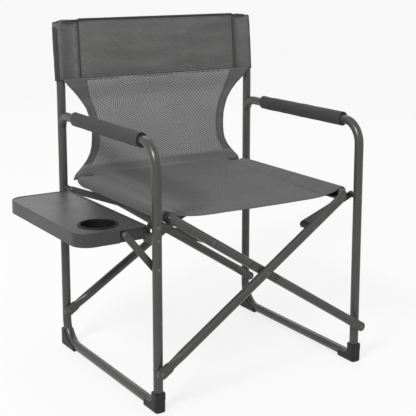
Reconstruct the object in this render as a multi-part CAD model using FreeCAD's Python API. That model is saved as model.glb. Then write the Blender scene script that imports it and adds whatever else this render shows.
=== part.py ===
import FreeCAD, Part
import math
import os

# Folding director chair with a side table, in millimetres.
# The chair is laid out about its own middle plane, x = 0, with the floor at z = 0,
# the front towards -Y and the side table on the -X side. write() then moves every
# solid by SHIFT, which puts the origin at the bottom centre of the whole object.

V = FreeCAD.Vector
X, Y, Z = V(1, 0, 0), V(0, 1, 0), V(0, 0, 1)

# Tubes and side frames
TUBE_R = 11.0            # outer radius of every tube
WALL = 1.2               # tube wall
FRAME_X = 282.0          # side frame's plane, either side of the middle
LEG_Y = 244.0            # front and rear legs, either side of the middle
RAIL_Z = 13.0            # bottom rail's centre line
ARM_Z = 610.0            # armrest's centre line
KINK_Z = 680.0           # the back post leans back from here up
POST_TOP_Z = 827.0
LEAN = math.radians(5.0)
REAR_BEND, FRONT_BEND, ARM_BEND, ARM_END_BEND = 58.0, 36.0, 54.0, 36.0

# Cross tubes: two U-shaped seat tubes that cross like scissors
PIVOT_X, PIVOT_Z = 284.0, 97.0      # lower pivot, on the opposite side's legs
SEAT_RAIL_X, SEAT_RAIL_Z = 242.0, 440.0
U_BEND = 28.0
FOLDED_ANGLE = 17.0                 # tube's angle from vertical, folded
LINK_T = 162.0                      # from the crossing up to the link's pivot
DIMPLE, DIMPLE_HALF = 5.6, 40.0     # depth and half length of the dimples at the crossings
# Depth of each U tube along Y at its lower pivot and at its seat rail
UR_FRONT, UR_REAR = (-266.0, -248.5), (224.5, 204.0)
UL_FRONT, UL_REAR = (-265.0, -228.5), (225.5, 225.0)

# Fasteners and links
PIN_R, HEAD_R, HEAD_H = 3.0, 5.2, 2.2
RUN = 0.1                            # radial running clearance
LINK_HALF, LINK_THICK = 8.5, 3.0
FRONT_LINK_Y, REAR_LINK_Y = -218.5, 190.0    # front face of each link
TONGUE_THICK, TONGUE_R, TONGUE_LONG = 9.0, 11.5, 20.0

# Side table
TRAY_TOP_Z, TRAY_DEEP, TRAY_WALL, TRAY_PLATE = 431.0, 31.0, 2.5, 3.6
LIP_WIDE, LIP_TALL = 3.6, 1.0
TRAY_X0, TRAY_X1, TRAY_Y0, TRAY_Y1 = -461.0, -301.0, -229.0, 175.0
CUP_X, CUP_Y, CUP_R, CUP_RIM = -384.0, -163.0, 38.8, 45.5
HINGE_X, HINGE_Z = -295.0, 406.0
STRUT_X, STRUT_Z, STUD_Z = -353.0, 417.5, 331.0

# Fabric
SLEEVE_IN, SLEEVE_OUT = 11.5, 12.8
HEAD_Z0, HEAD_Z1 = 696.0, 843.0
FABRIC = 2.4
SEAT_SAG, SEAT_SAG_REAR = 20.0, 3.0      # how far the seat hangs at its front and rear edges

u = V(PIVOT_X + SEAT_RAIL_X, 0, SEAT_RAIL_Z - PIVOT_Z)
TUBE_LONG = u.Length                                  # lower pivot to seat rail
OPEN_ANGLE = math.degrees(math.acos(u.z / TUBE_LONG))
CROSS = PIVOT_X / (u.x / TUBE_LONG)                   # lower pivot to crossing
CROSS_Z = PIVOT_Z + CROSS * u.z / TUBE_LONG
FOLD = OPEN_ANGLE - FOLDED_ANGLE
C1, C2 = math.cos(math.radians(OPEN_ANGLE)), math.cos(math.radians(FOLDED_ANGLE))
# Height of the link's pivot on the leg that keeps its length open and folded
LINK_Z = PIVOT_Z + 2 * CROSS * LINK_T / (CROSS + LINK_T) * (C1 + C2)
LINK_TX = LINK_T * u.x / TUBE_LONG
LINK_TZ = CROSS_Z + LINK_T * u.z / TUBE_LONG


# ---------------------------------------------------------------- helpers

def box(x0, x1, y0, y1, z0, z1):
    return Part.makeBox(x1 - x0, y1 - y0, z1 - z0, V(x0, y0, z0))


def rod(p, q, r):
    return Part.makeCylinder(r, (q - p).Length, p, q - p)


def rod_y(x, z, y0, y1, r):
    return Part.makeCylinder(r, y1 - y0, V(x, y0, z), Y)


def rounded_path(points, radii):
    """A wire of straight runs joined by tangent arcs, one radius for each inner point."""
    edges, start = [], points[0]
    for i in range(1, len(points) - 1):
        p, a, b = points[i], points[i - 1], points[i + 1]
        d0, d1 = (a - p).normalize(), (b - p).normalize()
        half = d0.getAngle(d1) / 2
        reach = radii[i - 1] / math.tan(half)
        t0, t1 = p + d0 * reach, p + d1 * reach
        inward = (d0 + d1).normalize()
        mid = p + inward * (radii[i - 1] / math.sin(half) - radii[i - 1])
        edges.append(Part.LineSegment(start, t0).toShape())
        edges.append(Part.Arc(t0, mid, t1).toShape())
        start = t1
    edges.append(Part.LineSegment(start, points[-1]).toShape())
    return Part.Wire(edges)


def pipe(path, r):
    """A solid round bar along a wire."""
    first = path.Edges[0]
    d = first.tangentAt(first.FirstParameter)
    ring = Part.Wire(Part.makeCircle(r, first.valueAt(first.FirstParameter), d))
    return path.makePipeShell([ring], True, True)


def hull_plate(points, y0, y1, r):
    """A flat bar in the XZ plane with rounded ends at two (x, z) points."""
    (xa, za), (xb, zb) = points
    a, b = V(xa, y0, za), V(xb, y0, zb)
    along = (b - a).normalize()
    side = V(-along.z, 0, along.x) * r
    face = Part.Face(Part.makePolygon([a + side, b + side, b - side, a - side, a + side]))
    bar = face.extrude(Y * (y1 - y0))
    return bar.fuse([rod_y(xa, za, y0, y1, r), rod_y(xb, zb, y0, y1, r)]).removeSplitter()


def rivet(x, z, y0, y1, r=PIN_R, head_r=HEAD_R, ends=(True, True)):
    """A pin along Y from y0 to y1 with a domed head on each named end."""
    pin = rod_y(x, z, y0, y1, r)
    dome_r = (head_r ** 2 + HEAD_H ** 2) / (2 * HEAD_H)
    keep = rod_y(x, z, y0 - HEAD_H, y1 + HEAD_H, head_r + 1)
    if ends[0]:
        ball = Part.makeSphere(dome_r, V(x, y0 + dome_r - HEAD_H, z))
        pin = pin.fuse(ball.common(box(x - 9, x + 9, y0 - 9, y0, z - 9, z + 9)))
    if ends[1]:
        ball = Part.makeSphere(dome_r, V(x, y1 - dome_r + HEAD_H, z))
        pin = pin.fuse(ball.common(box(x - 9, x + 9, y1, y1 + 9, z - 9, z + 9)))
    return pin.common(keep).removeSplitter()


def ring_y(x, z, y0, y1, r_in, r_out):
    return rod_y(x, z, y0, y1, r_out).cut(rod_y(x, z, y0 - 1, y1 + 1, r_in))


def mirrored(shape):
    return shape.mirror(V(0, 0, 0), X)


def group(*shapes):
    return Part.makeCompound([s for shape in shapes for s in shape.Solids])


# ---------------------------------------------------------------- side frames

def post_y(z):
    """The back post's centre line at a height."""
    return LEG_Y + max(0.0, z - KINK_Z) * math.tan(LEAN)


def side_frame():
    """One bent tube, on the +X side: back post, rear leg, bottom rail, front leg and arm."""
    x = FRAME_X
    loop = rounded_path(
        [V(x, post_y(POST_TOP_Z), POST_TOP_Z), V(x, LEG_Y, KINK_Z), V(x, LEG_Y, RAIL_Z),
         V(x, -LEG_Y, RAIL_Z), V(x, -LEG_Y, ARM_Z), V(x, 150, ARM_Z)],
        [160.0, REAR_BEND, FRONT_BEND, ARM_BEND])
    # The arm's rear end curls down into the post and stops just inside it
    cy, cz, r = LEG_Y - ARM_END_BEND, ARM_Z - ARM_END_BEND, ARM_END_BEND
    turn = [V(x, cy + r * math.sin(a), cz + r * math.cos(a)) for a in (0, 0.7, math.radians(80))]
    end = Part.Wire([Part.makeLine(V(x, 150, ARM_Z), turn[0]), Part.Arc(*turn).toShape()])
    outer = pipe(loop, TUBE_R).fuse(pipe(end, TUBE_R))
    inner = pipe(loop, TUBE_R - WALL).fuse(pipe(end, TUBE_R - WALL))
    return outer.cut(inner)


def frame_holes(extra=()):
    """Rivet holes along Y through the legs of the +X side frame."""
    holes = []
    for y, z in [(-LEG_Y, LINK_Z), (LEG_Y, LINK_Z), *extra]:
        holes.append(rod_y(FRAME_X, z, y - 2 * TUBE_R, y + 2 * TUBE_R, PIN_R))
    for y in (-LEG_Y, LEG_Y):
        holes.append(rod_y(PIVOT_X, PIVOT_Z, y - 2 * TUBE_R, y + 2 * TUBE_R, PIN_R))
    return holes


def shoe(front):
    """A moulded shoe that fills the corner outside a bottom bend, on the +X side."""
    s = -1 if front else 1
    bend = FRONT_BEND if front else REAR_BEND
    tall, long, half = (46.0, 60.0, 13.4) if front else (44.0, 74.0, 13.4)
    edge = LEG_Y + TUBE_R + 2.4
    y0, y1 = sorted((s * edge, s * (edge - long)))
    block = box(FRAME_X - half, FRAME_X + half, y0, y1, 0, tall)
    upright = [e for e in block.Edges
               if abs(e.tangentAt(e.FirstParameter).z) > 0.9 and abs(e.CenterOfMass.y - s * edge) < 0.1]
    block = block.makeFillet(8.0, upright)
    toe = [e for e in block.Edges if abs(e.CenterOfMass.y - s * edge) < 0.1 and e.CenterOfMass.z < 1]
    block = block.makeFillet(5.0, toe)
    cy, cz = s * (LEG_Y - bend), RAIL_Z + bend
    inside = Part.makeCylinder(bend - 2, 4 * half, V(FRAME_X - 2 * half, cy, cz), X)
    above = box(FRAME_X - 2 * half, FRAME_X + 2 * half, *sorted((cy, cy - s * 200)), RAIL_Z + 2, 200)
    block = block.cut([inside, above])
    if front:
        collar = box(FRAME_X - half, FRAME_X + half, -edge, -LEG_Y + half, 30, tall)
        block = block.fuse(collar.makeFillet(6.0, [e for e in collar.Edges if abs(
            e.tangentAt(e.FirstParameter).z) > 0.9])).removeSplitter()
    path = rounded_path(
        [V(FRAME_X, s * LEG_Y, 300), V(FRAME_X, s * LEG_Y, RAIL_Z), V(FRAME_X, s * 20, RAIL_Z)], [bend])
    return block.cut(pipe(path, TUBE_R))


def arm_pad():
    """A foam sleeve round the arm, thinner on its inner side, on the +X side."""
    y0, y1 = -181.0, 163.0
    centre = V(FRAME_X + 0.8, y0, ARM_Z)
    shape = Part.Ellipse(centre + V(0, 0, 17.5), centre + V(14.1, 0, 0), centre)
    pad = Part.Face(Part.Wire(shape.toShape())).extrude(Y * (y1 - y0))
    pad = pad.makeFillet(4.0, [e for e in pad.Edges if abs(e.CenterOfMass.y - y0) < 1
                               or abs(e.CenterOfMass.y - y1) < 1])
    return pad.cut(rod_y(FRAME_X, ARM_Z, y0 - 1, y1 + 1, TUBE_R))


def post_plug():
    """A plastic plug in the top of a back post, on the +X side."""
    top = V(FRAME_X, post_y(POST_TOP_Z), POST_TOP_Z)
    up = V(0, math.tan(LEAN), 1).normalize()
    return rod(top, top + up * 2.5, TUBE_R).fuse(rod(top - up * 18, top + up, TUBE_R - WALL)).removeSplitter()


# ---------------------------------------------------------------- seat tubes

def tube_point(s, depth, side=1):
    """The point s along a cross tube from its lower pivot; side 1 leans to +X."""
    y = depth[0] + (depth[1] - depth[0]) * s / TUBE_LONG
    return V(side * (-PIVOT_X + s * u.x / TUBE_LONG), y, PIVOT_Z + s * u.z / TUBE_LONG)


def tongue(depth, side):
    """The tube's flattened lower end, with its pivot hole."""
    pivot_y = depth[0]
    p = tube_point(0, depth, side)
    q = tube_point(TONGUE_LONG, depth, side)
    y0, y1 = pivot_y - TONGUE_THICK / 2, pivot_y + TONGUE_THICK / 2
    flat = hull_plate([(p.x, p.z), (q.x, q.z)], y0, y1, TONGUE_R)
    a, b = tube_point(TONGUE_LONG, depth, side), tube_point(60, depth, side)
    along = (b - a).normalize()
    across = V(-along.z, 0, along.x).normalize()
    a.y = pivot_y
    oval = Part.Ellipse(a + across * TONGUE_R, a + Y * (TONGUE_THICK / 2), a).toShape()
    crimp = Part.makeLoft([Part.Wire(oval), Part.Wire(Part.makeCircle(TUBE_R, b, along))], True)
    end = flat.fuse(crimp).removeSplitter()
    return end.cut(rod_y(p.x, p.z, y0 - 5, y1 + 5, PIN_R + RUN))


def dimple(depth, side, out, deeper):
    """What a dimple takes out of a cross tube on its facing side, with sloped ends."""
    c = tube_point(CROSS, depth, side)
    along = V(side * u.x, 0, u.z).normalize()
    flat = c.y + out * (TUBE_R - DIMPLE - deeper)
    far = c.y + out * 20
    base = V(c.x, 0, c.z)
    profile = [base + along * t + Y * y for t, y in
               ((-DIMPLE_HALF - 24, far), (-DIMPLE_HALF, flat), (DIMPLE_HALF, flat), (DIMPLE_HALF + 24, far))]
    across = V(-along.z, 0, along.x) * 20
    face = Part.Face(Part.makePolygon([p - across for p in profile + [profile[0]]]))
    return face.extrude(across * 2)


def seat_tube(front, rear, side, facing):
    """A U-shaped tube: up from one side's legs, along the seat's other side, and down again."""
    corners = [tube_point(60, front, side), tube_point(TUBE_LONG, front, side),
               tube_point(TUBE_LONG, rear, side), tube_point(60, rear, side)]
    path = rounded_path(corners, [U_BEND, U_BEND])
    outer, inner = pipe(path, TUBE_R), pipe(path, TUBE_R - WALL)
    # A flat dimple where each leg of this tube crosses the other tube
    for depth in (front, rear):
        outer = outer.cut(dimple(depth, side, facing, 0))
        inner = inner.cut(dimple(depth, side, facing, WALL))
    shell = outer.cut(inner).fuse([tongue(front, side), tongue(rear, side)])
    holes = []
    for depth in (front, rear):
        c = tube_point(CROSS, depth, side)
        t = tube_point(CROSS + LINK_T, depth, side)
        holes.append(rod_y(c.x, c.z, c.y - 20, c.y + 20, PIN_R + RUN))
        holes.append(rod_y(t.x, t.z, t.y - 20, t.y + 20, PIN_R))
    return shell.cut(holes)


def link_parts(side, depth, link_face, link_behind):
    """The pin and spacer on a cross tube where a link lies against it."""
    t = tube_point(CROSS + LINK_T, depth, side)
    if link_behind:
        y0, y1 = t.y - TUBE_R - 0.4, link_face - 0.3
        pin = rivet(t.x, t.z, y0, y1, ends=(True, False))
        ring = ring_y(t.x, t.z, t.y + 3, y1, PIN_R, 8.5)
    else:
        y0, y1 = link_face + LINK_THICK + 0.3, t.y + TUBE_R + 0.9
        pin = rivet(t.x, t.z, y0, y1, ends=(False, True))
        ring = ring_y(t.x, t.z, y0, t.y - 3, PIN_R, 8.5)
    # The tube is round, so the spacer's end follows it
    path = rod(tube_point(CROSS, depth, side), tube_point(TUBE_LONG - 50, depth, side), TUBE_R)
    return pin, ring.cut(path)


# ---------------------------------------------------------------- links

def link(side, face):
    """A flat link from a leg to the cross tube, with the holed ends rounded."""
    hx, tx = side * FRAME_X, side * LINK_TX
    bar = hull_plate([(hx, LINK_Z), (tx, LINK_TZ)], face, face + LINK_THICK, LINK_HALF)
    bar = bar.cut(rod_y(hx, LINK_Z, face - 1, face + LINK_THICK + 1, PIN_R + RUN))
    # The far end carries its own rivet tail; it stays clear of the pin on the tube
    tail = rod_y(tx, LINK_TZ, face + LINK_THICK, face + LINK_THICK + HEAD_H, HEAD_R) if face < 0 else \
        rod_y(tx, LINK_TZ, face - HEAD_H, face, HEAD_R)
    return bar.fuse(tail)


# ---------------------------------------------------------------- side table

def tray():
    """The table top: a plate with a skirt round it, rounded at its outer corners."""
    z0, z1 = TRAY_TOP_Z - TRAY_DEEP, TRAY_TOP_Z
    block = box(TRAY_X0, TRAY_X1, TRAY_Y0, TRAY_Y1, z0, z1)

    def corner(shape, x, y, r):
        picked = [e for e in shape.Edges if abs(e.tangentAt(e.FirstParameter).z) > 0.9
                  and abs(e.CenterOfMass.x - x) < 1 and abs(e.CenterOfMass.y - y) < 1]
        return shape.makeFillet(r, picked)

    block = corner(block, TRAY_X0, TRAY_Y0, 38.0)
    block = corner(block, TRAY_X0, TRAY_Y1, 38.0)
    block = corner(block, TRAY_X1, TRAY_Y1, 16.0)

    def inset(w, low, high):
        shape = box(TRAY_X0 + w, TRAY_X1 - w, TRAY_Y0 + w, TRAY_Y1 - w, low, high)
        shape = corner(shape, TRAY_X0 + w, TRAY_Y0 + w, 38.0 - w)
        shape = corner(shape, TRAY_X0 + w, TRAY_Y1 - w, 38.0 - w)
        return corner(shape, TRAY_X1 - w, TRAY_Y1 - w, 16.0 - w)

    w = TRAY_WALL
    top = [e for e in block.Edges if abs(e.CenterOfMass.z - z1) < 0.1]
    block = block.makeFillet(1.2, top)
    # Hollow underneath, and a low lip round the top
    body = block.cut([inset(w, z0 - 1, z1 - TRAY_PLATE), inset(LIP_WIDE, z1 - LIP_TALL, z1 + 1)])
    # The front skirt steps back where the bracket and the strut sit
    body = body.cut(box(STRUT_X - 11, TRAY_X1 + 1, TRAY_Y0 - 1, TRAY_Y0 + w + 0.6, z0 - 1, z1 - TRAY_PLATE))
    # The cup's hole, and a collar that stiffens it
    hole = Part.makeCylinder(CUP_R + 2.3, 60, V(CUP_X, CUP_Y, z0 - 10), Z)
    return body.cut(hole)


def cup_holder():
    """A moulded cup that drops into the tray's hole and rests on its rim."""
    face = TRAY_TOP_Z - LIP_TALL
    depth = 22.0
    at = V(CUP_X, CUP_Y, face - depth)
    outer = Part.makeCylinder(CUP_R + 2.2, depth, at, Z)
    rim = Part.makeCylinder(CUP_RIM, 1.8, V(CUP_X, CUP_Y, face), Z)
    rim = rim.makeFillet(1.2, [e for e in rim.Edges if e.CenterOfMass.z > face + 1])
    inside = Part.makeCylinder(CUP_R, depth + 5, at + Z * 2, Z)
    return outer.fuse(rim).cut(inside).removeSplitter()


def tray_bracket():
    """A steel bar in the tray's recess that carries the strut's pivot."""
    y0 = TRAY_Y0 + TRAY_WALL + 0.6
    bar = box(STRUT_X - 34, TRAY_X1 - 3.0, y0, y0 + 3.0, TRAY_TOP_Z - TRAY_DEEP + 0.5, TRAY_TOP_Z - TRAY_PLATE)
    foot = box(STRUT_X - 34, TRAY_X1 - 3.0, y0 + 3, y0 + 18, TRAY_TOP_Z - TRAY_PLATE - 2.5, TRAY_TOP_Z - TRAY_PLATE)
    return bar.fuse(foot).removeSplitter().cut(rod_y(STRUT_X, STRUT_Z, y0 - 2, y0 + 9, PIN_R))


def strut():
    """A flat strut with a pivot at its top and a notch at its foot that sits on the stud."""
    y0, y1 = TRAY_Y0 - 3.3, TRAY_Y0 - 0.3
    foot_x = -FRAME_X
    bar = hull_plate([(STRUT_X, STRUT_Z), (foot_x, STUD_Z)], y0, y1, 8.0)
    bar = bar.cut(rod_y(STRUT_X, STRUT_Z, y0 - 1, y1 + 1, PIN_R + RUN))
    a, b = V(foot_x, y0 - 1, STUD_Z), V(foot_x + 4, y0 - 1, STUD_Z + 15)
    notch = hull_plate([(a.x, a.z), (b.x, b.z)], y0 - 1, y1 + 1, 2.9)
    return bar.cut(notch.fuse(hull_plate([(a.x, a.z), (a.x + 12, a.z + 9)], y0 - 1, y1 + 1, 2.9)))


def table_rail():
    """The black bar between the left legs that the tray hangs on, with a foot at each end."""
    x0, x1 = -FRAME_X - 6.0, -FRAME_X + 2.0
    z0, z1 = HINGE_Z - 5, HINGE_Z + 15
    bar = box(x0, x1, -211, 186, z0, z1)
    # The feet pass below the links' pivots
    feet = [box(x0, x1, -232.7, -205, 386, 409), box(x0, x1, -211, -192, 386, z1),
            box(x0, x1, 180, 232.7, 386, 409), box(x0, x1, 166, 186, 386, z1)]
    rail = bar.fuse(feet).removeSplitter()
    for y in (-230, 230):
        rail = rail.cut(rod_y(-FRAME_X, 397, y - 12, y + 12, PIN_R))
    return rail


KNUCKLE_Y = (-150.0, 100.0)


def rail_knuckles():
    """Two pairs of ears on the rail, each side of the tray's knuckle."""
    ears = []
    for y in KNUCKLE_Y:
        for y0 in (y - 15.4, y + 7.4):
            lug = rod_y(HINGE_X, HINGE_Z, y0, y0 + 8, 5.0)
            arm = box(HINGE_X, -FRAME_X - 6.0, y0, y0 + 8, HINGE_Z - 5, HINGE_Z + 5)
            ears.append(lug.fuse(arm).removeSplitter().cut(rod_y(HINGE_X, HINGE_Z, y0 - 1, y0 + 9, 2.5)))
    return group(*ears)


def tray_knuckles():
    """The tray's own knuckles, one on each hinge pin."""
    out = []
    for y in KNUCKLE_Y:
        lug = rod_y(HINGE_X, HINGE_Z, y - 7, y + 7, 5.0)
        arm = box(TRAY_X1, HINGE_X, y - 7, y + 7, HINGE_Z - 3, HINGE_Z + 5)
        out.append(lug.fuse(arm).removeSplitter().cut(rod_y(HINGE_X, HINGE_Z, y - 9, y + 9, 2.5 + 0.08)))
    return group(*out)


def hinge_pins():
    return group(*[rod_y(HINGE_X, HINGE_Z, y - 15.4, y + 15.4, 2.5) for y in KNUCKLE_Y])


# ---------------------------------------------------------------- fabric

def seat_section(y, sag):
    """The seat panel's outline across the chair: over the rails at its sides, slack between them."""
    runs = []
    for lift in (0, FABRIC):
        points = []
        for i in range(9):
            x = SEAT_RAIL_X * (i / 4 - 1)
            points.append(V(x, y, SEAT_RAIL_Z + SLEEVE_OUT - FABRIC + lift - sag * (1 - (x / SEAT_RAIL_X) ** 2)))
        runs.append(points)
    lower, upper = Part.BSplineCurve(), Part.BSplineCurve()
    lower.interpolate(runs[0])
    upper.interpolate(runs[1])
    return Part.Wire([lower.toShape(), Part.makeLine(runs[0][-1], runs[1][-1]),
                      upper.toShape(), Part.makeLine(runs[1][0], runs[0][0])])


def seat_fabric():
    """The seat: a panel that is slack at the front and taut at the rear, with a sleeve round each rail."""
    panel = Part.makeLoft([seat_section(-300, SEAT_SAG), seat_section(300, SEAT_SAG_REAR)], True, True)
    plan = [V(-228, -222, 380), V(228, -240, 380), V(228, 175, 380), V(216, 229, 380),
            V(-216, 229, 380), V(-228, 195, 380)]
    middle = panel.common(Part.Face(Part.makePolygon(plan + [plan[0]])).extrude(Z * 140))
    # The sleeves cover the rails' straight stretches
    sides = []
    for sx, y0, y1 in ((-1, -199.0, 195.0), (1, -218.5, 175.0)):
        x0, x1 = sorted((sx * 220, sx * 262))
        edge = panel.common(box(x0, x1, y0, y1, 380, 520))
        sides += [edge, Part.makeCylinder(SLEEVE_OUT, y1 - y0, V(sx * SEAT_RAIL_X, y0, SEAT_RAIL_Z), Y)]
    body = middle.fuse(sides)
    for sx in (-SEAT_RAIL_X, SEAT_RAIL_X):
        body = body.cut(Part.makeCylinder(SLEEVE_IN, 700, V(sx, -350, SEAT_RAIL_Z), Y))
    return body


def head_panel():
    """The upper band of the back: two layers with a sleeve for each post."""
    low, high = V(0, post_y(HEAD_Z0), HEAD_Z0), V(0, post_y(HEAD_Z1), HEAD_Z1)
    up = (high - low).normalize()
    out = []
    for s in (-1, 1):
        base = V(s * FRAME_X, low.y, low.z)
        out.append(Part.makeCylinder(SLEEVE_OUT, (high - low).Length, base, up))
    y_f = SLEEVE_OUT
    corners = [V(-FRAME_X, low.y - y_f, low.z), V(FRAME_X, low.y - y_f, low.z),
               V(FRAME_X, high.y - y_f, high.z), V(-FRAME_X, high.y - y_f, high.z)]
    face = Part.Face(Part.makePolygon(corners + [corners[0]]))
    body = face.extrude(Y * 3.0).fuse(out)
    for s in (-1, 1):
        base = V(s * FRAME_X, low.y, low.z) - up * 40
        body = body.cut(Part.makeCylinder(SLEEVE_IN, (high - low).Length + 80, base, up))
    return body.removeSplitter()


def mesh_panel():
    """The waisted mesh panel below the head band, down to the seat's rear edge."""
    z1, z0 = HEAD_Z0 - 0.3, 455.0
    half = [(z1, 272.0), (665, 249.0), (635, 225.0), (600, 208.0), (560, 202.0), (525, 202.5), (490, 216.0), (z0, 246.0)]
    y = LEG_Y - SLEEVE_OUT
    right = Part.BSplineCurve()
    right.interpolate([V(x, y, z) for z, x in half])
    left = Part.BSplineCurve()
    left.interpolate([V(-x, y, z) for z, x in reversed(half)])
    wire = Part.Wire([right.toShape(), Part.makeLine(V(half[-1][1], y, z0), V(-half[-1][1], y, z0)),
                      left.toShape(), Part.makeLine(V(-half[0][1], y, z1), V(half[0][1], y, z1))])
    return Part.Face(wire).extrude(Y * 2.4)


# ---------------------------------------------------------------- assembly

def build():
    parts = {}
    # Side frames
    right = side_frame().cut(frame_holes())
    left = side_frame().cut(frame_holes(((-LEG_Y, 397), (LEG_Y, 397), (-LEG_Y, STUD_Z))))
    parts["right_frame_tube"] = right
    parts["left_frame_tube"] = mirrored(left)
    for name, solid in (("front_shoe", shoe(True)), ("rear_shoe", shoe(False)),
                        ("arm_pad", arm_pad()), ("post_plug", post_plug())):
        parts["right_" + name] = solid
        parts["left_" + name] = mirrored(solid)

    # Cross tubes
    parts["right_seat_tube"] = seat_tube(UR_FRONT, UR_REAR, 1, 1)
    parts["left_seat_tube"] = seat_tube(UL_FRONT, UL_REAR, -1, -1)

    # Lower pivot bolts and washers: each bolt is fixed in a leg and holds the other side's tube
    half = TONGUE_THICK / 2
    for name, x, front, rear in (("right", PIVOT_X, UL_FRONT[0], UL_REAR[0]),
                                 ("left", -PIVOT_X, UR_FRONT[0], UR_REAR[0])):
        legs = [rod(V(x / PIVOT_X * FRAME_X, y, 0), V(x / PIVOT_X * FRAME_X, y, 300), TUBE_R)
                for y in (-LEG_Y, LEG_Y)]
        parts[name + "_pivot_bolts"] = group(
            rivet(x, PIVOT_Z, front - half - 0.3, -LEG_Y + TUBE_R),
            rivet(x, PIVOT_Z, rear - half - 0.3, LEG_Y + TUBE_R))
        parts[name + "_pivot_washers"] = group(
            ring_y(x, PIVOT_Z, front + half + 0.2, -LEG_Y - 10.4, PIN_R, 8.0).cut(legs),
            ring_y(x, PIVOT_Z, rear + half + 0.2, LEG_Y - 10.4, PIN_R, 8.0).cut(legs))

    # Crossing rivets, carried by the left tube
    yf0 = tube_point(CROSS, UR_FRONT).y - TUBE_R - 0.3
    yf1 = tube_point(CROSS, UL_FRONT).y + TUBE_R + 0.3
    yr0 = tube_point(CROSS, UR_REAR).y - TUBE_R - 0.3
    yr1 = tube_point(CROSS, UL_REAR).y + TUBE_R + 0.3
    parts["cross_rivets"] = group(rivet(0, CROSS_Z, yf0, yf1), rivet(0, CROSS_Z, yr0, yr1))

    # Links with their leg rivets, and the pins and spacers on the cross tubes
    for side, name, front, rear in ((1, "right", UR_FRONT, UR_REAR), (-1, "left", UL_FRONT, UL_REAR)):
        parts[name + "_front_link"] = link(side, FRONT_LINK_Y)
        parts[name + "_rear_link"] = link(side, REAR_LINK_Y)
        hx = side * FRAME_X
        parts[name + "_link_rivets"] = group(
            rivet(hx, LINK_Z, -LEG_Y - TUBE_R, FRONT_LINK_Y + LINK_THICK + 0.3),
            rivet(hx, LINK_Z, REAR_LINK_Y - 0.3, LEG_Y + TUBE_R))
        legs = [rod(V(hx, y, 300), V(hx, y, 500), TUBE_R) for y in (-LEG_Y, LEG_Y)]
        parts[name + "_link_bush"] = group(
            ring_y(hx, LINK_Z, -LEG_Y + 6, FRONT_LINK_Y - 0.3, PIN_R, 6.5).cut(legs),
            ring_y(hx, LINK_Z, REAR_LINK_Y + LINK_THICK + 0.3, LEG_Y - 6, PIN_R, 6.5).cut(legs))
        p1, s1 = link_parts(side, front, FRONT_LINK_Y, True)
        p2, s2 = link_parts(side, rear, REAR_LINK_Y, False)
        parts[name + "_tube_pins"] = group(p1, p2)
        parts[name + "_tube_spacers"] = group(s1, s2)

    # Side table
    parts["table_rail"] = table_rail()
    parts["table_rail_rivets"] = group(
        rivet(-FRAME_X, 397, -LEG_Y - TUBE_R, -222, ends=(True, False)),
        rivet(-FRAME_X, 397, 222, LEG_Y + TUBE_R, ends=(False, True)))
    parts["table_rail_knuckles"] = rail_knuckles()
    parts["table_hinge_pins"] = hinge_pins()
    parts["table_tray"] = tray()
    parts["tray_knuckles"] = tray_knuckles()
    parts["cup_holder"] = cup_holder()
    parts["tray_bracket"] = tray_bracket()
    parts["table_strut"] = strut()
    parts["strut_rivet"] = rivet(STRUT_X, STRUT_Z, TRAY_Y0 - 3.6, TRAY_Y0 + TRAY_WALL + 3.6)
    parts["strut_stud"] = rivet(-FRAME_X, STUD_Z, -LEG_Y - TUBE_R, TRAY_Y0 + 0.3, r=2.6, head_r=4.6)

    # Fabric
    parts["seat_fabric"] = seat_fabric()
    parts["back_head_panel"] = head_panel()
    parts["back_mesh_panel"] = mesh_panel()
    return parts


def centre_shift(parts):
    """Moves the whole object's bottom centre to the origin."""
    whole = FreeCAD.BoundBox()
    for shape in parts.values():
        whole.add(shape.optimalBoundingBox(False, False))
    lo, hi = V(whole.XMin, whole.YMin, whole.ZMin), V(whole.XMax, whole.YMax, whole.ZMax)
    return V(-(lo.x + hi.x) / 2, -(lo.y + hi.y) / 2, -lo.z)


PARTS = build()
SHIFT = centre_shift(PARTS)


def write():
    os.makedirs("parts", exist_ok=True)
    for name, shape in PARTS.items():
        moved = shape.copy()
        moved.translate(SHIFT)
        if not moved.isValid():
            print("invalid", name)
        print(name, len(moved.Solids), round(moved.Volume))
        moved.exportStep("parts/" + name + ".step")
    print("shift", [round(v, 3) for v in SHIFT])


write()
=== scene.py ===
import bpy
import math
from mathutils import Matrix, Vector, noise


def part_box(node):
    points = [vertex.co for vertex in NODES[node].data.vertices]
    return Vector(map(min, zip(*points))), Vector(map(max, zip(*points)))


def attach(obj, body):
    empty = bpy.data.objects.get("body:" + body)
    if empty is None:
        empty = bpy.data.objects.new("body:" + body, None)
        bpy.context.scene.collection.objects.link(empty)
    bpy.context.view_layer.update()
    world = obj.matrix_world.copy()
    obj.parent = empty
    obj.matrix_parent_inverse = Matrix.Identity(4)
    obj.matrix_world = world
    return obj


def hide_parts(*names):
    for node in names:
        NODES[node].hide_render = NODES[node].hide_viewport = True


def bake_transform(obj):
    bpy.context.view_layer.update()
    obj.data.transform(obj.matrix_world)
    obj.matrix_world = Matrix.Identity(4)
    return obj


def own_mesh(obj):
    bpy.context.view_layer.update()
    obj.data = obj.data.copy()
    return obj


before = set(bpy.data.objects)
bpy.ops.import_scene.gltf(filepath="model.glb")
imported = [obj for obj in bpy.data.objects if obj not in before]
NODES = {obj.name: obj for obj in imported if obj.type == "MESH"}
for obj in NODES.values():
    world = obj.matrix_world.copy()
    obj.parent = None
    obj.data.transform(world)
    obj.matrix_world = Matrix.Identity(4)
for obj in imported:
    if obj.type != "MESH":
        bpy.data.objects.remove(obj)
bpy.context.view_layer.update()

# The chair's own middle plane and leg centres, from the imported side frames
LEFT_BOX, RIGHT_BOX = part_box("left_frame_tube"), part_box("right_frame_tube")
MID_X = (LEFT_BOX[0][0] + RIGHT_BOX[1][0]) / 2
MID_Y = RIGHT_BOX[0][1] + 0.255

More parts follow.
